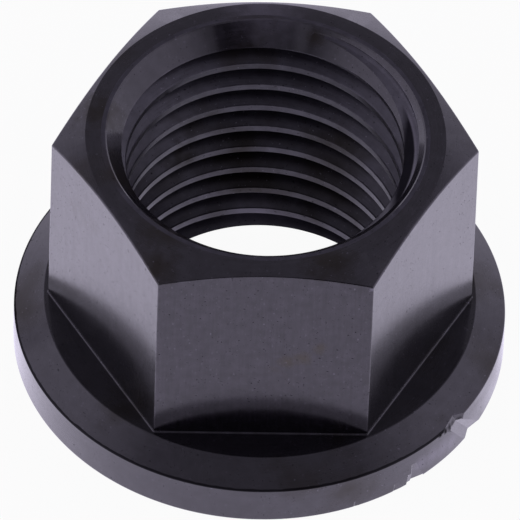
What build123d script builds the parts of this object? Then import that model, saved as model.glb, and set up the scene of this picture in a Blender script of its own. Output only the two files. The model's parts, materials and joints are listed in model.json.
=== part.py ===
"""Collar nut: a tall thin-walled hexagon nut turned in one piece with a round collar at its foot.

Millimetres. The origin is the centre of the collar's flat seat, the thread axis is Z, and the nut
stands on its seat. Two flats of the hexagon face -Y and +Y, and two corners point along -X and +X.
"""
import os
from math import cos, radians, sin, sqrt, tan

from build123d import *

# Hexagon
ACROSS_FLATS = 23.75
HEXAGON_HEIGHT = 15.25
TOP_FACE_DIAMETER = 23.15
CORNER_CHAMFER_ANGLE = 26.2
CORNER_ROUND = 0.1
FOOT_ROUND = 0.12

# Collar. Its level land reaches just past the hexagon's corners, and the slope falls from there to the rim
COLLAR_HEIGHT = 3.9
RIM_HEIGHT = 2.8
COLLAR_SLOPE_ANGLE = 29.5
LAND_MARGIN = 0.2436
LAND_RADIUS = ACROSS_FLATS / sqrt(3) + LAND_MARGIN
RIM_RADIUS = LAND_RADIUS + (COLLAR_HEIGHT - RIM_HEIGHT) / tan(radians(COLLAR_SLOPE_ANGLE))
RIM_EDGE_ROUND = 0.1
SEAT_EDGE_ROUND = 0.12

# Thread M20 x 2. The bore is cut to the crests' diameter, which an ISO thread has five eighths of its
# full triangle's height, on each side, inside the thread's own diameter
THREAD_DIAMETER = 20.0
THREAD_PITCH = 2.0
MINOR_DIAMETER = THREAD_DIAMETER - 2 * 5 / 8 * sqrt(3) / 2 * THREAD_PITCH
TOP_SINK_DIAMETER = 20.5
TOP_SINK_ANGLE = 90.0
SEAT_SINK_DIAMETER = 19.7
SEAT_SINK_ANGLE = 120.0

# Cutters reach this far past the surfaces they cut, and edges this near to a size lie on it
OVERCUT = 1.0
CHIP_OVERCUT = 0.3
TOUCH = 0.01

# Damage to the collar's rim. A chip is a wedge between a lower and an upper section. Each section has
# a height, the angles about Z from +X at which the chip starts, is deepest and ends, and its depth into
# the rim at the start, the heel, and at the root. A chip that dies out in the wall ends at depth FADED
FADED = 0.01
EDGE_BITE_DROP = 0.45
SCAR = [dict(height=0.0, start=333.6, heel=0.0, root=329.2, depth=0.3, end=326.5),
        dict(height=RIM_HEIGHT, start=324.3, heel=0.0, root=323.2, depth=0.2, end=319.9)]
EDGE_BITE = [dict(height=RIM_HEIGHT - EDGE_BITE_DROP, start=322.6, heel=0.0, root=321.2, depth=FADED, end=319.8),
             dict(height=RIM_HEIGHT, start=323.6, heel=0.0, root=321.2, depth=0.28, end=318.6)]
SEAT_BITE = [dict(height=0.0, start=311.8, heel=0.12, root=308.4, depth=0.3, end=307.9),
             dict(height=1.75, start=309.4, heel=FADED, root=308.4, depth=FADED, end=307.9)]
STEP_BITE = [dict(height=0.0, start=308.5, heel=0.2, root=306.8, depth=0.2, end=306.5),
             dict(height=0.9, start=308.2, heel=FADED, root=307.4, depth=FADED, end=307.0)]
SMALL_BITE = [dict(height=0.0, start=305.8, heel=0.0, root=303.0, depth=0.08, end=302.7),
              dict(height=0.7, start=304.4, heel=0.0, root=303.4, depth=FADED, end=303.1)]
NICK = [dict(height=0.0, start=294.2, heel=0.0, root=292.7, depth=0.08, end=292.4),
        dict(height=0.5, start=293.6, heel=0.0, root=292.9, depth=FADED, end=292.6)]
RIM_CHIPS = [SCAR, EDGE_BITE, SEAT_BITE, STEP_BITE, SMALL_BITE, NICK]


def revolved(points):
    """Return the solid swept by a closed outline of (radius, height) points about the nut's axis."""
    outline = Polyline(*[(radius, 0, height) for radius, height in points], close=True)
    return revolve(make_face(outline), Axis.Z)


def rim_circles(solid):
    """Return the solid's circular edges at the rim's radius, from the lowest up."""
    circles = solid.edges().filter_by(GeomType.CIRCLE)
    return circles.filter_by(lambda edge: abs(edge.radius - RIM_RADIUS) < TOUCH).sort_by(Axis.Z)


def collar():
    """Return the collar: a flat seat, an upright rim and a sloped top that ends in a level land."""
    blank = revolved([(0, 0), (RIM_RADIUS, 0), (RIM_RADIUS, RIM_HEIGHT), (LAND_RADIUS, COLLAR_HEIGHT),
                      (0, COLLAR_HEIGHT)])
    blank = fillet(rim_circles(blank)[0], SEAT_EDGE_ROUND)
    return fillet(rim_circles(blank)[-1], RIM_EDGE_ROUND)


def hexagon():
    """Return the hexagon, its corners turned off at the top by a flat cone."""
    circumradius = ACROSS_FLATS / sqrt(3)
    outline = RegularPolygon(circumradius, 6)
    outline = fillet(outline.vertices(), CORNER_ROUND)
    prism = extrude(Plane.XY.offset(COLLAR_HEIGHT - OVERCUT) * outline, HEXAGON_HEIGHT + OVERCUT)
    top = COLLAR_HEIGHT + HEXAGON_HEIGHT
    face_radius = TOP_FACE_DIAMETER / 2
    reach = circumradius + OVERCUT
    drop = (reach - face_radius) * tan(radians(CORNER_CHAMFER_ANGLE))
    turned = revolved([(0, 0), (reach, 0), (reach, top - drop), (face_radius, top), (0, top)])
    return prism & turned


def bore():
    """Return the void of the bore: the crests' cylinder with a countersink at each end."""
    top = COLLAR_HEIGHT + HEXAGON_HEIGHT
    crest_radius = MINOR_DIAMETER / 2
    top_radius = TOP_SINK_DIAMETER / 2
    seat_radius = SEAT_SINK_DIAMETER / 2
    top_slope = tan(radians(TOP_SINK_ANGLE / 2))
    seat_slope = tan(radians(SEAT_SINK_ANGLE / 2))
    top_depth = (top_radius - crest_radius) / top_slope
    seat_depth = (seat_radius - crest_radius) / seat_slope
    return revolved([(0, -OVERCUT), (seat_radius + OVERCUT * seat_slope, -OVERCUT), (crest_radius, seat_depth),
                     (crest_radius, top - top_depth), (top_radius + OVERCUT * top_slope, top + OVERCUT),
                     (0, top + OVERCUT)])


def rim_point(radius, angle, height):
    """Return the point at a radius and an angle about the axis, at a height above the seat."""
    return (radius * cos(radians(angle)), radius * sin(radians(angle)), height)


def chip_section(section):
    """Return one section of a chip: a flat wedge that opens outwards past the rim."""
    outside = RIM_RADIUS + OVERCUT
    height = section["height"]
    corners = [rim_point(outside, section["start"], height),
               rim_point(RIM_RADIUS - section["heel"], section["start"], height),
               rim_point(RIM_RADIUS - section["depth"], section["root"], height),
               rim_point(RIM_RADIUS, section["end"], height),
               rim_point(outside, section["end"], height)]
    return make_face(Polyline(*corners, close=True))


def carried_on(section, other, height):
    """Return the section at a new height, on the straight lines that run from the other one through it."""
    share = (height - section["height"]) / (section["height"] - other["height"])
    return {name: value + share * (value - other[name]) for name, value in section.items()}


def chip_cutter(chip):
    """Return the wedge that takes one chip out of the rim, carried past the seat or the sloped top."""
    lower, upper = chip
    low_end, high_end = lower, upper
    if lower["height"] == 0:
        low_end = carried_on(lower, upper, -CHIP_OVERCUT)
    if upper["height"] == RIM_HEIGHT:
        high_end = carried_on(upper, lower, RIM_HEIGHT + CHIP_OVERCUT)
    return loft([chip_section(low_end), chip_section(high_end)], ruled=True)


def foot_edges(nut):
    """Return the edges of the inner corner where the hexagon's walls stand on the collar's land."""
    return nut.edges().filter_by(
        lambda edge: abs(edge.center().Z - COLLAR_HEIGHT) < TOUCH and edge.length < ACROSS_FLATS)


def collar_nut():
    """Return the whole nut as one solid."""
    nut = collar() + hexagon()
    nut = fillet(foot_edges(nut), FOOT_ROUND)
    nut -= bore()
    for chip in RIM_CHIPS:
        nut -= chip_cutter(chip)
    return nut


os.makedirs("parts", exist_ok=True)
export_step(collar_nut(), "parts/collar_nut.step")
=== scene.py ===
"""Looks of the collar nut: turned and milled steel, blackened, on a white table in soft studio light.

Sizes are in millimetres and are turned to metres where a mesh is made. The frame gives the nut's own
box and bore, and the other sizes are those of the real nut.
"""
import json
from math import atan2, cos, pi, radians, sin, sqrt, tan

import bpy
from mathutils import Matrix, Vector


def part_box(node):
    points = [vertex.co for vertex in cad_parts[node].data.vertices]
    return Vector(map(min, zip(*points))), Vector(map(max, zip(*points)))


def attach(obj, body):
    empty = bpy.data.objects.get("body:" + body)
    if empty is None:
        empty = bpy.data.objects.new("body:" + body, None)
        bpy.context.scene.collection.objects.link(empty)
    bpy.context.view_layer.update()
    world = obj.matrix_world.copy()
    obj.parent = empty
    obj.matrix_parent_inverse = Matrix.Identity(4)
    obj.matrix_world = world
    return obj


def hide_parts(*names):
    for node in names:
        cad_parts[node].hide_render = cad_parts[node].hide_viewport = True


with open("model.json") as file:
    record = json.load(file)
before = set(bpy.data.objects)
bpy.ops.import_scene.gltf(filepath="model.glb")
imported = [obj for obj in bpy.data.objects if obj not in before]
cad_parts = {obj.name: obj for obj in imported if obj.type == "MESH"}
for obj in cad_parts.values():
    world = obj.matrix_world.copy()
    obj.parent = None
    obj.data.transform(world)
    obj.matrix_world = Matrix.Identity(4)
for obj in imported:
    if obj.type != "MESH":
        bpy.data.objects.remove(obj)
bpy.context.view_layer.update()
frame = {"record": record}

MM = 0.001

# The nut's box and bore, as the frame has them
NODE = "collar_nut"
box_low, box_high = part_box(NODE)
mounts = {mount["name"]: mount for mount in frame["record"]["mounts"]}
COLLAR_RADIUS = box_high.x / MM
NUT_HEIGHT = box_high.z / MM
CREST_RADIUS = mounts["thread"]["dims"]["r_mm"]

# Hexagon
ACROSS_FLATS = 23.75
CIRCUMRADIUS = ACROSS_FLATS / sqrt(3)
TOP_FACE_RADIUS = 11.575
CORNER_CHAMFER_ANGLE = 26.2
CORNER_ROUND = 0.1
FOOT_ROUND = 0.09
CHAMFER_EDGE_ROUND = 0.08

# Collar
COLLAR_HEIGHT = 3.9
RIM_HEIGHT = 2.8
COLLAR_SLOPE_ANGLE = 29.5
LAND_RADIUS = COLLAR_RADIUS - (COLLAR_HEIGHT - RIM_HEIGHT) / tan(radians(COLLAR_SLOPE_ANGLE))
RIM_EDGE_ROUND = 0.1
SEAT_EDGE_ROUND = 0.12
LAND_EDGE_ROUND = 0.25

# Bore and M20 x 2 right-hand thread: the groove has the ISO section, and its mouth is open by three
# quarters of the pitch at the crests. THREAD_MARK is the height at which a groove's middle passes +Y
THREAD_PITCH = 2.0
ROOT_RADIUS = 10.0
FLANK_ANGLE = 30.0
THREAD_MARK = 1.06
CREST_BREAK = 0.06
ROOT_ROUND = 0.2
TOP_SINK_RADIUS = 10.25
SEAT_SINK_RADIUS = 9.85
SEAT_SINK_ANGLE = 60.0
SINK_EDGE_ROUND = 0.06

# Facets round a turned surface, steps in one turn of the thread and steps across a rounded edge
FACETS = 288
THREAD_STEPS = 150
ROUND_STEPS = 3
SHARP_ANGLE = 6.0
CLEAR = 1.0
WALL_TOUCH = 0.02

# Damage to the rim, chip by chip: sections of a wedge, as heights, angles about Z from +X and depths
FADED = 0.01
CHIP_CLEAR = 0.3
EDGE_BITE_DROP = 0.55
SCAR = [dict(height=0.0, start=333.6, heel=0.0, root=330.0, depth=0.3, end=326.7),
        dict(height=RIM_HEIGHT, start=323.6, heel=0.0, root=322.7, depth=0.2, end=319.5)]
EDGE_BITE = [dict(height=RIM_HEIGHT - EDGE_BITE_DROP, start=325.2, heel=0.0, root=324.0, depth=0.2, end=320.6),
             dict(height=RIM_HEIGHT, start=325.8, heel=0.0, root=323.2, depth=0.32, end=317.8)]
SEAT_BITE = [dict(height=0.0, start=311.8, heel=0.12, root=308.4, depth=0.3, end=307.9),
             dict(height=1.75, start=309.4, heel=FADED, root=308.4, depth=FADED, end=307.9)]
STEP_BITE = [dict(height=0.0, start=308.5, heel=0.2, root=306.8, depth=0.2, end=306.5),
             dict(height=0.9, start=308.2, heel=FADED, root=307.4, depth=FADED, end=307.0)]
SMALL_BITE = [dict(height=0.0, start=305.8, heel=0.0, root=303.0, depth=0.08, end=302.7),
              dict(height=0.7, start=304.4, heel=0.0, root=303.4, depth=FADED, end=303.1)]
NICK = [dict(height=0.0, start=294.2, heel=0.0, root=292.7, depth=0.08, end=292.4),
        dict(height=0.5, start=293.6, heel=0.0, root=292.9, depth=FADED, end=292.6)]
RIM_CHIPS = [SCAR, EDGE_BITE, SEAT_BITE, STEP_BITE, SMALL_BITE, NICK]

# Finish, in millimetres: clouds of tarnish, ragged outlines, the cut's long waves, pits in the oxide, the
# width of the wear along an edge and of the black line at the rim, which ends along X
CLOUD_SIZE = 6.0
RAG_SIZE = 0.7
WAVE_SIZE = 1.6
PIT_SIZE = 0.16
WEAR_WIDTH = 0.12
LINE_WIDTH = 0.15
LINE_SHARE = 0.75
LINE_END = (12.0, 13.0)

# Where the thread runs out into the countersink on the right, painted shade darkens and dulls it by a share: from this
# far out along X, tilted a little towards -Y, from this height and up to this radius, in millimetres, and the band of
# radii just outside, where a painted highlight lies as a bright line, with its share
RUN_OUT_SIDE = (8.4, 8.95)
RUN_OUT_TILT = -0.12
RUN_OUT_HEIGHT = (17.3, 17.7)
RUN_OUT_RADIUS = (9.5, 9.6)
RUN_OUT_SHADE_SHARE = 0.75
GLINT_RADIUS = (9.64, 9.8)
GLINT_SHARE = 0.6

# Levels of the fine noise above which it is a pit and below which it is a pinpoint, what crushed oxide, with
# the painted shade, and tarnish add to the roughness, and the share of the oil's film that tarnish takes
PIT_LEVEL = 0.76
POINT_LEVEL = 0.275
CRUSHED_AND_SHADE_MATT = 0.3
TARNISH_MATT = 0.12
TARNISH_THINS = 0.3
# Colours of the pits, also used for painted shade, and of bare steel, also used for a painted highlight
PIT_AND_SHADE_COLOUR = "#0C0B0E"
BARE_AND_GLINT_COLOUR = "#5F5B66"

# Studio: its white, the light of the surround by the sine of its height, the side boxes from the share of
# a direction that points sideways, with edges that slant back behind the nut and fade in front of it and
# the depth over which they change, the light at the far left and right, the
# share of light left behind the camera, which a low band of full light runs under, and a dark stand and a
# pale card beside the camera, as directions, sizes and the light that each lets through or adds
STUDIO_WHITE = "#EFE9FF"
SURROUND = [(0.1, 0.95), (0.37, 0.8), (0.47, 0.7), (0.62, 0.36), (0.72, 0.25), (1.0, 0.29)]
BOX_EDGE = (0.53, 0.565)
BOX_SLANT = -0.3
FRONT_BOX_EDGE = (0.3, 0.68)
BEHIND = (0.02, 0.15)
BOX_LEVEL = 0.88
SIDE_LEVELS = (1.08, 0.96)
DARK_EDGE = (-0.7, -0.25)
DARK_SHARE = 0.55
LOW_BAND = (0.06, 0.16)
STANDS = [((0.31, -0.7, 0.64), (0.16, 0.2), 0.02), ((-0.33, -0.685, 0.64), (0.03, 0.09), 2.4)]

# The table, in metres: its size, the glow that the camera sees, the glow that the steel mirrors at the left
# and right of the nut, a painted light that falls off from left to right, how far to each side that is, and the share
# of it that is left inside the bore, a painted shadow under the nut
TABLE_RADIUS = 0.5
BOARD_GLOW = 0.95
PAINTED_MIRRORED_GLOW = (1.24, 1.05)
GLOW_REACH = 0.02
PAINTED_BORE_SHADOW = 0.78

# Camera, as fitted to the outlines of the hexagon and the collar: its direction and roll in degrees,
# its distance from the aim in metres, and the aim's place beside the middle of the hexagon's foot
VIEW_AZIMUTH = 1.71
VIEW_ELEVATION = 48.39
VIEW_ROLL = 2.08
VIEW_DISTANCE = 1.2445
AIM_RIGHT = -0.083
AIM_UP = 2.244
LENS = 1332.4


def only(piece):
    """Deselect everything, then select one piece and make it active."""
    bpy.ops.object.select_all(action="DESELECT")
    piece.select_set(True)
    bpy.context.view_layer.objects.active = piece


def finished(name):
    """Leave edit mode with all normals outwards, and name the piece."""
    bpy.ops.mesh.select_all(action="SELECT")
    bpy.ops.mesh.normals_make_consistent(inside=False)
    bpy.ops.object.mode_set(mode="OBJECT")
    piece = bpy.context.object
    piece.name = name
    piece.data.name = name
    return piece


def softened(points):
    """Return an outline of (radius, height) points, each (radius, height, round) corner turned to an arc."""
    outline = [Vector(points[0][:2])]
    for before, corner, after in zip(points, points[1:], points[2:]):
        place = Vector(corner[:2])
        if len(corner) == 2:
            outline.append(place)
            continue
        inwards = (Vector(before[:2]) - place).normalized()
        onwards = (Vector(after[:2]) - place).normalized()
        half = inwards.angle(onwards) / 2
        centre = place + (inwards + onwards).normalized() * (corner[2] / sin(half))
        first = place + inwards * (corner[2] / tan(half)) - centre
        last = place + onwards * (corner[2] / tan(half)) - centre
        turn = first.angle_signed(last)
        for step in range(ROUND_STEPS + 1):
            spoke = first.copy()
            spoke.rotate(Matrix.Rotation(-turn * step / ROUND_STEPS, 2))
            outline.append(centre + spoke)
    outline.append(Vector(points[-1][:2]))
    return outline


def turned(name, points):
    """Model a turned solid: a disc at the outline's first point, extruded ring by ring along the outline."""
    outline = softened(points)
    radius, height = outline[0]
    bpy.ops.mesh.primitive_circle_add(vertices=FACETS, radius=radius * MM, fill_type="NGON",
                                      location=(0, 0, height * MM))
    bpy.ops.object.transform_apply(location=True, rotation=False, scale=False)
    bpy.ops.object.mode_set(mode="EDIT")
    bpy.ops.mesh.select_all(action="SELECT")
    for next_radius, next_height in outline[1:]:
        rise = (0, 0, (next_height - height) * MM)
        bpy.ops.mesh.extrude_region_move(TRANSFORM_OT_translate={"value": rise})
        share = next_radius / radius
        bpy.ops.transform.resize(value=(share, share, 1), center_override=(0, 0, 0))
        radius, height = next_radius, next_height
    return finished(name)


def combined(piece, tool, operation):
    """Join, cut or trim the piece with a tool, which is used up."""
    only(piece)
    modifier = piece.modifiers.new(operation.title(), "BOOLEAN")
    modifier.operation = operation
    modifier.solver = "EXACT"
    modifier.object = tool
    bpy.ops.object.modifier_apply(modifier=modifier.name)
    bpy.data.objects.remove(tool)


def bevelled(piece, wanted, width, steps):
    """Round the edges for which wanted(middle, direction) says yes, by a width in millimetres."""
    only(piece)
    bpy.ops.object.mode_set(mode="EDIT")
    bpy.ops.mesh.select_mode(type="EDGE")
    bpy.ops.mesh.select_all(action="DESELECT")
    bpy.ops.object.mode_set(mode="OBJECT")
    points = piece.data.vertices
    for edge in piece.data.edges:
        first, last = (points[index].co / MM for index in edge.vertices)
        edge.select = wanted((first + last) / 2, last - first)
    bpy.ops.object.mode_set(mode="EDIT")
    bpy.ops.mesh.bevel(offset=width * MM, offset_type="OFFSET", segments=steps, profile=0.5, affect="EDGES",
                       clamp_overlap=True)
    bpy.ops.object.mode_set(mode="OBJECT")


def collar():
    """The collar as it is turned: a level seat, an upright rim, a sloped top and a level land."""
    return turned("nut", [(COLLAR_RADIUS - 2 * CLEAR, 0), (COLLAR_RADIUS, 0, SEAT_EDGE_ROUND),
                          (COLLAR_RADIUS, RIM_HEIGHT, RIM_EDGE_ROUND),
                          (LAND_RADIUS, COLLAR_HEIGHT, LAND_EDGE_ROUND),
                          (ACROSS_FLATS / 2 - CLEAR, COLLAR_HEIGHT)])


def is_upright(middle, along):
    """Say whether an edge runs straight up."""
    return along.xy.length < 0.01 * abs(along.z)


def on_walls(middle):
    """Say whether a point lies on the hexagon's walls or their rounded corners."""
    turn = atan2(middle.y, middle.x)
    nearest_flat = round((turn - pi / 6) / (pi / 3)) * pi / 3 + pi / 6
    reach = middle.xy.length * cos(turn - nearest_flat)
    return abs(reach - ACROSS_FLATS / 2) < WALL_TOUCH


def is_chamfer_edge(middle, along):
    """Say whether an edge is one where the corners' cone meets the hexagon's walls."""
    return on_walls(middle) and middle.z > COLLAR_HEIGHT + CLEAR and not is_upright(middle, along)


def hexagon():
    """The milled hexagon, with its corners turned off by a flat cone and its edges just broken."""
    bottom = COLLAR_HEIGHT - CLEAR
    depth = NUT_HEIGHT + CLEAR - bottom
    bpy.ops.mesh.primitive_cylinder_add(vertices=6, radius=CIRCUMRADIUS * MM, depth=depth * MM,
                                        location=(0, 0, (bottom + depth / 2) * MM), rotation=(0, 0, pi / 6))
    bpy.ops.object.transform_apply(location=True, rotation=True, scale=False)
    prism = bpy.context.object
    prism.name = "hexagon"
    bevelled(prism, is_upright, CORNER_ROUND * tan(pi / 6), ROUND_STEPS)
    reach = CIRCUMRADIUS + CLEAR
    drop = (reach - TOP_FACE_RADIUS) * tan(radians(CORNER_CHAMFER_ANGLE))
    trim = turned("trim", [(reach, 0), (reach, NUT_HEIGHT - drop),
                           (TOP_FACE_RADIUS, NUT_HEIGHT, CHAMFER_EDGE_ROUND),
                           (TOP_FACE_RADIUS - CLEAR, NUT_HEIGHT)])
    combined(prism, trim, "INTERSECT")
    bevelled(prism, is_chamfer_edge, CHAMFER_EDGE_ROUND, 2)
    return prism


def is_foot_edge(middle, along):
    """Say whether an edge runs in the inner corner between the hexagon's walls and the land."""
    return on_walls(middle) and abs(middle.z - COLLAR_HEIGHT) < 0.1 * WALL_TOUCH


def sink_height(radius):
    """The height of the countersink at the top, at a radius."""
    return NUT_HEIGHT - (TOP_SINK_RADIUS - radius)


def bore():
    """The void of the bore: the crests' cylinder with a countersink at each end."""
    seat_slope = tan(radians(SEAT_SINK_ANGLE))
    seat_depth = (SEAT_SINK_RADIUS - CREST_RADIUS) / seat_slope
    mouth = TOP_SINK_RADIUS - SINK_EDGE_ROUND
    return turned("bore", [(SEAT_SINK_RADIUS + CLEAR, -CLEAR),
                           (SEAT_SINK_RADIUS + SINK_EDGE_ROUND, -SINK_EDGE_ROUND / 4),
                           (SEAT_SINK_RADIUS - SINK_EDGE_ROUND, SINK_EDGE_ROUND / seat_slope),
                           (CREST_RADIUS, seat_depth), (CREST_RADIUS, sink_height(CREST_RADIUS)),
                           (mouth, sink_height(mouth)),
                           (TOP_SINK_RADIUS + SINK_EDGE_ROUND, NUT_HEIGHT + SINK_EDGE_ROUND / 4),
                           (TOP_SINK_RADIUS + CLEAR, NUT_HEIGHT + CLEAR)])


def is_threaded(middle):
    """Say whether a point of the bore lies on the thread, crests and all, and not on a countersink."""
    radius = middle.xy.length
    on_sink = middle.z > sink_height(CREST_RADIUS) and abs(middle.z - sink_height(radius)) < WALL_TOUCH
    on_seat_sink = middle.z < (SEAT_SINK_RADIUS - radius) / tan(radians(SEAT_SINK_ANGLE)) + WALL_TOUCH
    return radius < ROOT_RADIUS and not on_sink and not on_seat_sink


def groove_section():
    """The thread groove's section as (radius, height) points about its middle: open past the crests, with
    the crests' edges broken and the root rounded off."""
    flank = tan(radians(FLANK_ANGLE))
    mouth = THREAD_PITCH * 3 / 8
    foot = mouth - (ROOT_RADIUS - ROOT_ROUND - CREST_RADIUS) * flank
    broken = mouth - CREST_BREAK * flank
    lip = mouth + CREST_BREAK / 2
    half = [(CREST_RADIUS - CREST_BREAK, lip + CREST_BREAK), (CREST_RADIUS + CREST_BREAK, broken),
            (ROOT_RADIUS - ROOT_ROUND, foot), (ROOT_RADIUS - ROOT_ROUND / 3, foot * 0.55),
            (ROOT_RADIUS, foot * 0.12)]
    return half + [(radius, -height) for radius, height in reversed(half)]


def thread():
    """The cutter of the thread: the groove's section on a right-hand helix past both ends of the nut."""
    section = groove_section()
    turns = int((NUT_HEIGHT + 4 * THREAD_PITCH) / THREAD_PITCH)
    start = THREAD_MARK - THREAD_PITCH / 4 - 2 * THREAD_PITCH
    bpy.ops.mesh.primitive_circle_add(vertices=len(section), fill_type="NOTHING")
    cutter = bpy.context.object
    cutter.name = "thread"
    for point, (radius, height) in zip(cutter.data.vertices, section):
        point.co = (radius * MM, 0, (start + height) * MM)
    screw = cutter.modifiers.new("Screw", "SCREW")
    screw.axis = "Z"
    screw.angle = 2 * pi
    screw.screw_offset = THREAD_PITCH * MM
    screw.iterations = turns
    screw.steps = THREAD_STEPS
    screw.render_steps = THREAD_STEPS
    only(cutter)
    bpy.ops.object.modifier_apply(modifier=screw.name)
    bpy.ops.object.mode_set(mode="EDIT")
    bpy.ops.mesh.select_all(action="DESELECT")
    bpy.ops.mesh.select_mode(type="EDGE")
    bpy.ops.mesh.select_non_manifold(extend=False)
    bpy.ops.mesh.fill_holes(sides=0)
    return finished("thread")


def rim_point(radius, angle, height):
    """The place at a radius and an angle about the axis, at a height above the seat, in metres."""
    return Vector((radius * cos(radians(angle)), radius * sin(radians(angle)), height)) * MM


def chip_corners(section):
    """The five corners of one section of a chip, a wedge that opens outwards past the rim."""
    outside = COLLAR_RADIUS + CLEAR
    height = section["height"]
    return [rim_point(outside, section["start"], height),
            rim_point(COLLAR_RADIUS - section["heel"], section["start"], height),
            rim_point(COLLAR_RADIUS - section["depth"], section["root"], height),
            rim_point(COLLAR_RADIUS, section["end"], height),
            rim_point(outside, section["end"], height)]


def carried_on(section, other, height):
    """The section at a new height, on the straight lines that run from the other one through it."""
    share = (height - section["height"]) / (section["height"] - other["height"])
    return {name: value + share * (value - other[name]) for name, value in section.items()}


def chip(name, sections):
    """The wedge that takes one chip out of the rim: a flat five-cornered face, drawn up to the upper section."""
    lower, upper = sections
    low_end, high_end = lower, upper
    if lower["height"] == 0:
        low_end = carried_on(lower, upper, -CHIP_CLEAR)
    if upper["height"] == RIM_HEIGHT:
        high_end = carried_on(upper, lower, RIM_HEIGHT + CHIP_CLEAR)
    low_corners = chip_corners(low_end)
    high_corners = chip_corners(high_end)
    bpy.ops.mesh.primitive_circle_add(vertices=len(low_corners), fill_type="NGON")
    wedge = bpy.context.object
    for point, corner in zip(wedge.data.vertices, low_corners):
        point.co = corner
    bpy.ops.object.mode_set(mode="EDIT")
    bpy.ops.mesh.select_all(action="SELECT")
    bpy.ops.mesh.extrude_region_move(TRANSFORM_OT_translate={"value": (0, 0, MM)})
    bpy.ops.object.mode_set(mode="OBJECT")
    raised = [point for point in wedge.data.vertices if point.co.z > low_corners[0].z + MM / 2]
    for corner, low_corner in zip(high_corners, low_corners):
        nearest = min(raised, key=lambda point: (point.co.xy - low_corner.xy).length)
        nearest.co = corner
        raised.remove(nearest)
    bpy.ops.object.mode_set(mode="EDIT")
    return finished(name)


def nut():
    """The whole nut in one mesh, with its thread and its chipped rim."""
    body = collar()
    combined(body, hexagon(), "UNION")
    bevelled(body, is_foot_edge, FOOT_ROUND, ROUND_STEPS)
    combined(body, bore(), "DIFFERENCE")
    combined(body, thread(), "DIFFERENCE")
    for number, sections in enumerate(RIM_CHIPS):
        combined(body, chip(f"chip_{number}", sections), "DIFFERENCE")
    only(body)
    bpy.ops.object.mode_set(mode="EDIT")
    bpy.ops.mesh.select_all(action="SELECT")
    bpy.ops.mesh.remove_doubles(threshold=MM * 1e-4)
    finished("nut")
    bpy.ops.object.shade_smooth_by_angle(angle=radians(SHARP_ANGLE))
    weighting = body.modifiers.new("Weighting", "WEIGHTED_NORMAL")
    weighting.keep_sharp = True
    weighting.weight = 100
    bpy.ops.object.modifier_apply(modifier=weighting.name)
    return body


def linear(colour):
    """Turn an sRGB hex colour into the linear values that a shader takes."""
    parts = [int(colour[place:place + 2], 16) / 255 for place in (1, 3, 5)]
    return [part / 12.92 if part <= 0.04045 else ((part + 0.055) / 1.055) ** 2.4 for part in parts] + [1.0]


def add(tree, kind, values=None, **settings):
    """Add a node with its settings. Values go to its inputs, and a socket or a node's output is linked."""
    node = tree.nodes.new(kind)
    for name, value in settings.items():
        setattr(node, name, value)
    for place, value in (values or {}).items():
        if isinstance(value, bpy.types.Node):
            value = next(socket for socket in value.outputs if socket.enabled)
        if isinstance(value, bpy.types.NodeSocket):
            tree.links.new(value, node.inputs[place])
        else:
            node.inputs[place].default_value = value
    return node


def empty_material(name):
    """Make a material with no nodes but its output."""
    material = bpy.data.materials.new(name)
    material.use_nodes = True
    material.node_tree.nodes.clear()
    return material, material.node_tree


def object_place(tree):
    """The point of the nut, in millimetres, as a vector and as its parts."""
    coordinates = add(tree, "ShaderNodeTexCoord")
    place = add(tree, "ShaderNodeVectorMath", {0: coordinates.outputs["Object"], "Scale": 1 / MM}, operation="SCALE")
    parts = add(tree, "ShaderNodeSeparateXYZ", {0: place.outputs[0]})
    return place.outputs[0], parts.outputs


def turned_place(tree, parts, drag):
    """The point as a lathe tool meets it: its radius, its height and, drawn out by drag, its way round."""
    flat = add(tree, "ShaderNodeCombineXYZ", {"X": parts["X"], "Y": parts["Y"]})
    radius = add(tree, "ShaderNodeVectorMath", {0: flat.outputs[0]}, operation="LENGTH")
    direction = add(tree, "ShaderNodeVectorMath", {0: flat.outputs[0]}, operation="NORMALIZE")
    around = add(tree, "ShaderNodeVectorMath", {0: direction.outputs[0], "Scale": drag}, operation="SCALE")
    upward = add(tree, "ShaderNodeCombineXYZ", {"X": radius.outputs["Value"], "Z": parts["Z"]})
    swept = add(tree, "ShaderNodeVectorMath", {0: upward.outputs[0], 1: around.outputs[0]}, operation="ADD")
    return swept.outputs[0]


def upright_strokes(tree, place, parts):
    """A flat's grinding marks run up and down, so the place is drawn together along Z."""
    return add(tree, "ShaderNodeVectorMath", {0: place, 1: (1.0, 1.0, 0.04)}, operation="MULTIPLY").outputs[0]


def turned_rings(tree, place, parts):
    """A lathe tool's marks run round the axis."""
    return turned_place(tree, parts, 0.6)


def spots(tree, place, ragged, places):
    """Soft spots with ragged outlines, 1 at the middle and 0 outside, each given as a middle and a radius."""
    total = None
    for middle, radius in places:
        away = add(tree, "ShaderNodeVectorMath", {0: place, 1: middle}, operation="DISTANCE")
        reach = add(tree, "ShaderNodeMath", {0: ragged, 1: radius, 2: away.outputs["Value"]},
                    operation="MULTIPLY_ADD")
        spot = add(tree, "ShaderNodeMapRange", {"Value": reach, "From Min": radius * 0.6, "From Max": radius * 1.4,
                                                "To Min": 1.0, "To Max": 0.0})
        total = spot if total is None else add(tree, "ShaderNodeMath", {0: total, 1: spot}, operation="MAXIMUM")
    return total


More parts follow.
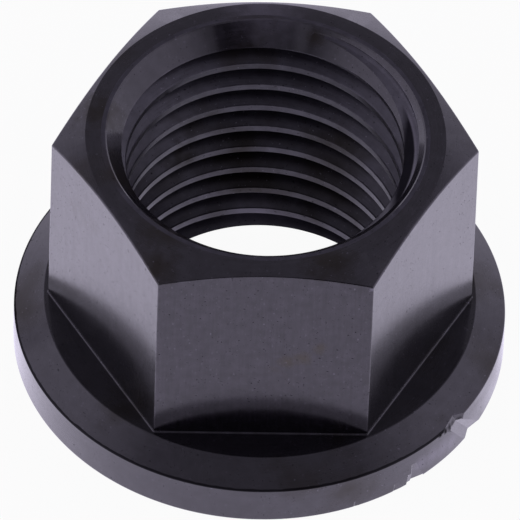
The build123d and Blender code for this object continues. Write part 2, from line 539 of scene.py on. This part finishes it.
def edge_line(tree, parts, ragged):
    """The thick black line of oxide at the outer edge of the collar's slope, with a ragged inner side."""
    flat = add(tree, "ShaderNodeCombineXYZ", {"X": parts["X"], "Y": parts["Y"]})
    radius = add(tree, "ShaderNodeVectorMath", {0: flat}, operation="LENGTH")
    reach = add(tree, "ShaderNodeMath", {0: ragged, 1: LINE_WIDTH, 2: radius.outputs["Value"]},
                operation="MULTIPLY_ADD")
    outer = add(tree, "ShaderNodeMapRange", {"Value": reach, "From Min": COLLAR_RADIUS - LINE_WIDTH / 2,
                                             "From Max": COLLAR_RADIUS - LINE_WIDTH / 4})
    above = add(tree, "ShaderNodeMapRange", {"Value": parts["Z"], "From Min": RIM_HEIGHT - LINE_WIDTH / 2,
                                             "From Max": RIM_HEIGHT - LINE_WIDTH / 4})
    low = add(tree, "ShaderNodeMapRange", {"Value": parts["Z"], "From Min": RIM_HEIGHT + LINE_WIDTH,
                                           "From Max": RIM_HEIGHT + 2 * LINE_WIDTH, "To Min": LINE_SHARE,
                                           "To Max": 0.0})
    left = add(tree, "ShaderNodeMapRange", {"Value": parts["X"], "From Min": LINE_END[0],
                                            "From Max": LINE_END[1], "To Min": 1.0, "To Max": 0.0})
    line = add(tree, "ShaderNodeMath", {0: outer, 1: above}, operation="MULTIPLY")
    for part in (low, left):
        line = add(tree, "ShaderNodeMath", {0: line, 1: part}, operation="MULTIPLY")
    return line


def run_out(tree, parts):
    """Painted shade where the thread runs out at the top on the right, and the painted highlight, a bright line, that
    bounds it.
    """
    tilted = add(tree, "ShaderNodeMath", {0: parts["Y"], 1: RUN_OUT_TILT, 2: parts["X"]}, operation="MULTIPLY_ADD")
    aside = add(tree, "ShaderNodeMapRange", {"Value": tilted, "From Min": RUN_OUT_SIDE[0],
                                             "From Max": RUN_OUT_SIDE[1]})
    raised = add(tree, "ShaderNodeMapRange", {"Value": parts["Z"], "From Min": RUN_OUT_HEIGHT[0],
                                              "From Max": RUN_OUT_HEIGHT[1]})
    there = add(tree, "ShaderNodeMath", {0: aside, 1: raised}, operation="MULTIPLY")
    flat = add(tree, "ShaderNodeCombineXYZ", {"X": parts["X"], "Y": parts["Y"]})
    radius = add(tree, "ShaderNodeVectorMath", {0: flat}, operation="LENGTH").outputs["Value"]
    inside = add(tree, "ShaderNodeMapRange", {"Value": radius, "From Min": RUN_OUT_RADIUS[0],
                                              "From Max": RUN_OUT_RADIUS[1], "To Min": RUN_OUT_SHADE_SHARE,
                                              "To Max": 0.0})
    # Painted shade over the thread's run-out, inside the radius
    run_out_shade = add(tree, "ShaderNodeMath", {0: there, 1: inside}, operation="MULTIPLY")
    # A painted highlight: a bright line on the band of radii just outside the painted shade
    outside = add(tree, "ShaderNodeMapRange", {"Value": radius, "From Min": RUN_OUT_RADIUS[0],
                                               "From Max": RUN_OUT_RADIUS[1], "To Max": GLINT_SHARE})
    within = add(tree, "ShaderNodeMapRange", {"Value": radius, "From Min": GLINT_RADIUS[0],
                                              "From Max": GLINT_RADIUS[1], "To Min": 1.0, "To Max": 0.0})
    band = add(tree, "ShaderNodeMath", {0: outside, 1: within}, operation="MULTIPLY")
    lip = add(tree, "ShaderNodeMath", {0: there, 1: band}, operation="MULTIPLY")
    return run_out_shade, lip


def black_oxide(name, look):
    """Black oxide on steel under a film of oil. The cut's marks show as fine lines and broader bands, the
    oxide has small dark pits and bright pinpoints, brown tarnish shows where the oil was wiped off, and
    bare steel shines through along the edges and where the nut was struck. The crushed oxide in the rim's bites is
    partly painted shade, and where the thread runs out there is painted shade and a painted highlight."""
    material, tree = empty_material(name)
    place, parts = object_place(tree)
    cut = look["cut"](tree, place, parts)
    # Marks of the cut, in lines and in bands, and the clouds that tarnish and wear follow
    lines = add(tree, "ShaderNodeTexNoise", {"Vector": cut, "Scale": 1 / look["line_size"], "Detail": 3.0})
    bands = add(tree, "ShaderNodeTexNoise", {"Vector": cut, "Scale": 1 / look["band_size"], "Detail": 2.0})
    cloud = add(tree, "ShaderNodeTexNoise", {"Vector": place, "Scale": 1 / CLOUD_SIZE, "Detail": 4.0})
    ragged = add(tree, "ShaderNodeTexNoise", {"Vector": place, "Scale": 1 / RAG_SIZE, "Detail": 3.0})
    waves = add(tree, "ShaderNodeTexNoise", {"Vector": cut, "Scale": 1 / WAVE_SIZE, "Detail": 1.0})
    # Dark pits and bright pinpoints: the tops and the hollows of one fine noise, thicker in some clouds
    fine = add(tree, "ShaderNodeTexNoise", {"Vector": place, "Scale": 1 / PIT_SIZE, "Detail": 1.0})
    crowd = add(tree, "ShaderNodeMath", {0: ragged, 1: 0.12, 2: fine}, operation="MULTIPLY_ADD")
    pit = add(tree, "ShaderNodeMapRange", {"Value": crowd, "From Min": PIT_LEVEL, "From Max": PIT_LEVEL + 0.06,
                                           "To Max": look["pits"]})
    point = add(tree, "ShaderNodeMapRange", {"Value": fine, "From Min": POINT_LEVEL, "From Max": POINT_LEVEL - 0.04})
    # Tarnish in clouds and in smudges
    veil = add(tree, "ShaderNodeMapRange", {"Value": cloud, "From Min": look["tarnish_from"],
                                            "From Max": look["tarnish_from"] + 0.18})
    smudge = spots(tree, place, ragged, look["smudges"])
    tarnish = add(tree, "ShaderNodeMath", {0: veil, 1: smudge}, operation="MAXIMUM")
    # Bare steel along the edges, broken up, and on the struck and rubbed patches
    rounded = add(tree, "ShaderNodeBevel", {"Radius": WEAR_WIDTH * MM}, samples=4)
    faced = add(tree, "ShaderNodeNewGeometry")
    bend = add(tree, "ShaderNodeVectorMath", {0: rounded, 1: faced.outputs["Normal"]}, operation="DOT_PRODUCT")
    edge = add(tree, "ShaderNodeMapRange", {"Value": bend.outputs["Value"], "From Min": 0.99, "From Max": 0.88})
    broken = add(tree, "ShaderNodeMapRange", {"Value": ragged, "From Min": 0.4, "From Max": 0.62, "To Max": 0.7})
    worn = add(tree, "ShaderNodeMath", {0: edge, 1: broken}, operation="MULTIPLY")
    rubbed = spots(tree, place, ragged, look["rubbed"])
    bare_and_glint = add(tree, "ShaderNodeMath", {0: worn, 1: rubbed}, operation="MAXIMUM")
    bare_and_glint = add(tree, "ShaderNodeMath", {0: bare_and_glint, 1: point}, operation="MAXIMUM")
    # The painted highlight along the thread's run-out goes in with the bare steel
    if look["run_out"]:
        run_out_shade, lip = run_out(tree, parts)
        bare_and_glint = add(tree, "ShaderNodeMath", {0: bare_and_glint, 1: lip}, operation="MAXIMUM")
    # Crushed, matt oxide at the rim's edge and in its bites, partly painted shade of the bites' faces
    dull_and_shade = spots(tree, place, ragged, look["crushed_and_shade"])
    if look["edge_line"]:
        line = edge_line(tree, parts, ragged)
        dull_and_shade = add(tree, "ShaderNodeMath", {0: dull_and_shade, 1: line}, operation="MAXIMUM")
    # The painted shade over the thread's run-out goes in with the crushed oxide
    if look["run_out"]:
        dull_and_shade = add(tree, "ShaderNodeMath", {0: dull_and_shade, 1: run_out_shade}, operation="MAXIMUM")
    dull_and_shade = add(tree, "ShaderNodeMath", {0: dull_and_shade, 1: pit}, operation="MAXIMUM")
    # Colour, from the skin up
    mottled = add(tree, "ShaderNodeMix", {"Factor": 0.5, 2: lines, 3: ragged})
    ridge = add(tree, "ShaderNodeMapRange", {"Value": mottled, "From Min": 0.34, "From Max": 0.66})
    skin = add(tree, "ShaderNodeMix", {"Factor": ridge, 6: linear(look["skin"][0]), 7: linear(look["skin"][1])},
               data_type="RGBA")
    stained = add(tree, "ShaderNodeMix", {"Factor": tarnish, 6: skin, 7: linear(look["tarnish"])},
                  data_type="RGBA")
    bared_and_glinting = add(tree, "ShaderNodeMix", {"Factor": bare_and_glint, 6: stained, 7: linear(BARE_AND_GLINT_COLOUR)}, data_type="RGBA")
    colour = add(tree, "ShaderNodeMix", {"Factor": dull_and_shade, 6: bared_and_glinting, 7: linear(PIT_AND_SHADE_COLOUR)}, data_type="RGBA")
    # Roughness of the steel, and the film of oil, thinner in the bands, the tarnish, the crushed oxide and the painted
    # shade
    gloss = add(tree, "ShaderNodeMapRange", {"Value": lines, "From Min": 0.3, "From Max": 0.7,
                                             "To Min": look["gloss"][0], "To Max": look["gloss"][1]})
    matt = add(tree, "ShaderNodeMath", {0: tarnish, 1: TARNISH_MATT, 2: gloss}, operation="MULTIPLY_ADD")
    matt = add(tree, "ShaderNodeMath", {0: dull_and_shade, 1: CRUSHED_AND_SHADE_MATT, 2: matt}, operation="MULTIPLY_ADD")
    patchy = add(tree, "ShaderNodeMix", {"Factor": 0.5, 2: bands, 3: ragged})
    film = add(tree, "ShaderNodeMapRange", {"Value": patchy, "From Min": 0.35, "From Max": 0.65,
                                            "To Min": look["film"][0], "To Max": look["film"][1]})
    film = add(tree, "ShaderNodeMath", {0: tarnish, 1: -TARNISH_THINS, 2: film}, operation="MULTIPLY_ADD")
    film = add(tree, "ShaderNodeMath", {0: dull_and_shade, 1: -1.0, 2: film}, operation="MULTIPLY_ADD", use_clamp=True)
    # Relief in millimetres: the lines on long, low waves
    relief = add(tree, "ShaderNodeMath", {0: lines, 1: look["line_depth"]}, operation="MULTIPLY")
    relief = add(tree, "ShaderNodeMath", {0: waves, 1: look["wave_depth"], 2: relief}, operation="MULTIPLY_ADD")
    bump = add(tree, "ShaderNodeBump", {"Strength": 1.0, "Distance": MM, "Height": relief})
    # Crushed oxide and the painted shade don't shine even at a glance along them, so their grazing tint goes to black
    glance = add(tree, "ShaderNodeMix", {"Factor": dull_and_shade, 6: linear("#FFFFFF"), 7: linear("#000000")},
                 data_type="RGBA")
    shader = add(tree, "ShaderNodeBsdfPrincipled", {"Base Color": colour, "Metallic": look["metal"],
                                                    "Roughness": matt, "Specular Tint": glance,
                                                    "Coat Weight": film, "Coat Roughness": look["film_blur"],
                                                    "Coat IOR": 1.5, "Normal": bump, "Coat Normal": bump})
    add(tree, "ShaderNodeOutputMaterial", {"Surface": shader})
    return material


def finish(piece):
    """Give each face the finish of the cut that made it: ground flats, turned faces or the tapped thread."""
    for name, look in FINISHES.items():
        piece.data.materials.append(black_oxide(name, look))
    for face in piece.data.polygons:
        centre = face.center / MM
        if is_threaded(centre):
            face.material_index = 2
        elif on_walls(centre) and centre.z > COLLAR_HEIGHT and abs(face.normal.z) < 0.01:
            face.material_index = 1


def white_table():
    """Matt white board, lit from below as on a light table, so that shadows on it stay faint. The steel
    mirrors it in the studio's own cool white, with a painted light brighter at the left and a painted shadow inside the
    bore."""
    material, tree = empty_material("white_table")
    path = add(tree, "ShaderNodeLightPath")
    mirrored = add(tree, "ShaderNodeMath", {0: path.outputs["Is Glossy Ray"],
                                            1: path.outputs["Is Transmission Ray"]}, operation="MAXIMUM")
    share = add(tree, "ShaderNodeMath", {0: path.outputs["Is Camera Ray"], 1: BOARD_GLOW}, operation="MULTIPLY")
    share = add(tree, "ShaderNodeMath", {0: share, 1: mirrored}, operation="MAXIMUM")
    colour = add(tree, "ShaderNodeMix", {"Factor": mirrored, 6: linear("#FFFFFF"), 7: linear(STUDIO_WHITE)},
                 data_type="RGBA")
    coordinates = add(tree, "ShaderNodeTexCoord")
    parts = add(tree, "ShaderNodeSeparateXYZ", {0: coordinates.outputs["Object"]})
    # Painted light: what the steel mirrors is brighter at the left than at the right
    sides = add(tree, "ShaderNodeMapRange", {"Value": parts.outputs["X"], "From Min": -GLOW_REACH,
                                             "From Max": GLOW_REACH, "To Min": PAINTED_MIRRORED_GLOW[0],
                                             "To Max": PAINTED_MIRRORED_GLOW[1]})
    flat = add(tree, "ShaderNodeVectorMath", {0: coordinates.outputs["Object"]}, operation="LENGTH")
    # Painted shadow: what the steel mirrors is dimmer inside the bore
    shaded = add(tree, "ShaderNodeMapRange", {"Value": flat.outputs["Value"], "From Min": CREST_RADIUS * MM,
                                              "From Max": SEAT_SINK_RADIUS * MM, "To Min": PAINTED_BORE_SHADOW})
    level = add(tree, "ShaderNodeMath", {0: sides, 1: shaded}, operation="MULTIPLY")
    strength = add(tree, "ShaderNodeMix", {"Factor": mirrored, 2: 1.0, 3: level})
    board = add(tree, "ShaderNodeBsdfDiffuse", {"Color": linear("#F4F4F4")})
    glow = add(tree, "ShaderNodeEmission", {"Color": colour, "Strength": strength})
    surface = add(tree, "ShaderNodeMixShader", {0: share, 1: board, 2: glow})
    add(tree, "ShaderNodeOutputMaterial", {"Surface": surface})
    return material


def table():
    """The white table that the nut stands on."""
    bpy.ops.mesh.primitive_circle_add(vertices=64, radius=TABLE_RADIUS, fill_type="NGON", location=(0, 0, 0))
    floor = bpy.context.object
    floor.name = "table"
    floor.data.materials.append(white_table())


def studio():
    """Soft studio light: a surround that is white at table height and dims overhead, a soft box on each
    side, and less light from behind the camera."""
    world = bpy.data.worlds.new("studio")
    bpy.context.scene.world = world
    world.use_nodes = True
    tree = world.node_tree
    tree.nodes.clear()
    direction = add(tree, "ShaderNodeTexCoord")
    parts = add(tree, "ShaderNodeSeparateXYZ", {0: direction.outputs["Generated"]}).outputs
    height = add(tree, "ShaderNodeValToRGB", {0: parts["Z"]})
    ramp = height.color_ramp
    while len(ramp.elements) < len(SURROUND):
        ramp.elements.new(0.5)
    for element, (rise, level) in zip(ramp.elements, SURROUND):
        element.position = rise
        element.color = (level, level, level, 1)
    sideways = add(tree, "ShaderNodeMath", {0: parts["X"]}, operation="ABSOLUTE")
    slanted = add(tree, "ShaderNodeMath", {0: parts["Y"], 1: BOX_SLANT, 2: sideways}, operation="MULTIPLY_ADD")
    crisp = add(tree, "ShaderNodeMapRange", {"Value": slanted, "From Min": BOX_EDGE[0], "From Max": BOX_EDGE[1],
                                             "To Max": BOX_LEVEL})
    faded = add(tree, "ShaderNodeMapRange", {"Value": sideways, "From Min": FRONT_BOX_EDGE[0],
                                             "From Max": FRONT_BOX_EDGE[1], "To Max": BOX_LEVEL})
    behind = add(tree, "ShaderNodeMapRange", {"Value": parts["Y"], "From Min": BEHIND[0], "From Max": BEHIND[1]})
    boxes = add(tree, "ShaderNodeMix", {"Factor": behind, 2: faded, 3: crisp})
    light = add(tree, "ShaderNodeMath", {0: height, 1: boxes}, operation="MAXIMUM")
    side = add(tree, "ShaderNodeMapRange", {"Value": parts["X"], "From Min": -1.0, "From Max": 1.0,
                                            "To Min": SIDE_LEVELS[0], "To Max": SIDE_LEVELS[1]})
    light = add(tree, "ShaderNodeMath", {0: light, 1: side}, operation="MULTIPLY")
    ahead = add(tree, "ShaderNodeMapRange", {"Value": parts["Y"], "From Min": DARK_EDGE[0],
                                             "From Max": DARK_EDGE[1], "To Min": DARK_SHARE})
    low = add(tree, "ShaderNodeMapRange", {"Value": parts["Z"], "From Min": LOW_BAND[0], "From Max": LOW_BAND[1],
                                           "To Min": 1.0, "To Max": 0.0})
    dimmed = add(tree, "ShaderNodeMath", {0: ahead, 1: low}, operation="MAXIMUM")
    level = add(tree, "ShaderNodeMath", {0: light, 1: dimmed}, operation="MULTIPLY")
    for way, size, passed in STANDS:
        away = add(tree, "ShaderNodeVectorMath", {0: direction.outputs["Generated"], 1: way}, operation="DISTANCE")
        stand = add(tree, "ShaderNodeMapRange", {"Value": away.outputs["Value"], "From Min": size[0],
                                                 "From Max": size[1], "To Min": passed})
        level = add(tree, "ShaderNodeMath", {0: level, 1: stand}, operation="MULTIPLY")
    surround = add(tree, "ShaderNodeBackground", {"Color": linear(STUDIO_WHITE), "Strength": level})
    add(tree, "ShaderNodeOutputWorld", {"Surface": surround})


def camera():
    """The camera at the photograph's place, turned, rolled and aimed as its outlines ask."""
    azimuth, elevation, roll = (radians(angle) for angle in (VIEW_AZIMUTH, VIEW_ELEVATION, VIEW_ROLL))
    right = Vector((cos(azimuth), -sin(azimuth), 0))
    ahead = Vector((sin(azimuth) * cos(elevation), cos(azimuth) * cos(elevation), -sin(elevation)))
    up = right.cross(ahead)
    aim = (Vector((0, 0, COLLAR_HEIGHT)) + right * AIM_RIGHT + up * AIM_UP) * MM
    rolled_right = right * cos(roll) + up * sin(roll)
    rolled_up = up * cos(roll) - right * sin(roll)
    lens = bpy.data.cameras.new("camera")
    lens.lens = LENS
    lens.sensor_width = 36
    lens.clip_start = 0.1
    lens.clip_end = 10
    holder = bpy.data.objects.new("camera", lens)
    bpy.context.scene.collection.objects.link(holder)
    turn = Matrix((rolled_right, rolled_up, -ahead)).transposed().to_4x4()
    holder.matrix_world = Matrix.Translation(aim - ahead * VIEW_DISTANCE) @ turn
    bpy.context.scene.camera = holder


# The three finishes, each with the way its cut runs, its colours, its marks in millimetres, and its spots
# as middles and radii. Ground: upright strokes in a smooth half gloss. Turned: fine rings, with oil wiped
# off in brown patches. Tapped: rougher, with a duller film
FINISHES = {
    "turned_black_steel": dict(
        cut=turned_rings, skin=("#2E2B31", "#39363D"), tarnish="#241D19", tarnish_from=0.55, gloss=(0.2, 0.27),
        metal=0.75, film=(0.9, 1.0), film_blur=0.09, line_size=0.08, line_depth=0.0004, band_size=0.5,
        wave_depth=0.003, pits=0.45, edge_line=True, run_out=True,
        # Along the rim's top edge these spots are partly crushed oxide in the bites and partly painted shade of the
        # bites' faces
        crushed_and_shade=[((12.9, -9.3, 2.5), 0.35), ((12.61, -9.68, 2.62), 0.42), ((12.3, -10.07, 2.65), 0.38), ((11.98, -10.45, 2.7), 0.32),
                 ((11.61, -10.86, 2.75), 0.28)],
        smudges=[((3.3, 9.2, 18.6), 0.9), ((4.0, -10.5, 19.1), 2.5), ((-6.5, -8.2, 19.1), 2.5),
                 ((-7.0, -10.8, 18.6), 2.0), ((-10.5, 2.0, 19.1), 2.2)],
        rubbed=[((0.0, 11.2, 19.1), 3.6), ((10.43, -12.0, 1.3), 1.0), ((11.14, -11.34, 1.3), 1.15),
                ((11.82, -10.64, 1.3), 1.15), ((12.36, -10.0, 1.1), 1.0)]),
    "ground_black_steel": dict(
        cut=upright_strokes, skin=("#17131C", "#2F2A34"), tarnish="#39322B", tarnish_from=0.66, gloss=(0.18, 0.26),
        metal=0.88, film=(0.9, 1.0), film_blur=0.16, line_size=0.12, line_depth=0.0005, band_size=0.35,
        wave_depth=0.01, pits=0.6, edge_line=False, run_out=False, crushed_and_shade=[((6.9, -11.9, 8.0), 0.1)],
        smudges=[((1.5, -11.9, 10.9), 0.8), ((2.5, -11.9, 11.2), 0.9), ((3.6, -11.9, 12.2), 0.7)], rubbed=[((6.8, -11.9, 18.0), 0.3)]),
    "tapped_black_steel": dict(
        cut=turned_rings, skin=("#322F38", "#43404B"), tarnish="#261F1B", tarnish_from=0.52, gloss=(0.35, 0.45),
        metal=0.75, film=(0.54, 0.8), film_blur=0.25, line_size=0.15, line_depth=0.001, band_size=0.6, wave_depth=0.004,
        pits=0.6, edge_line=False, run_out=True, crushed_and_shade=[((-6.4, 6.4, 16.0), 0.5)],
        smudges=[((-5.0, 7.5, 9.0), 2.0)], rubbed=[((0.0, 8.9, 1.2), 3.4)])}

piece = nut()
finish(piece)
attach(piece, "root")
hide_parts(NODE)
table()
studio()
camera()
bpy.context.scene.view_settings.view_transform = "Standard"
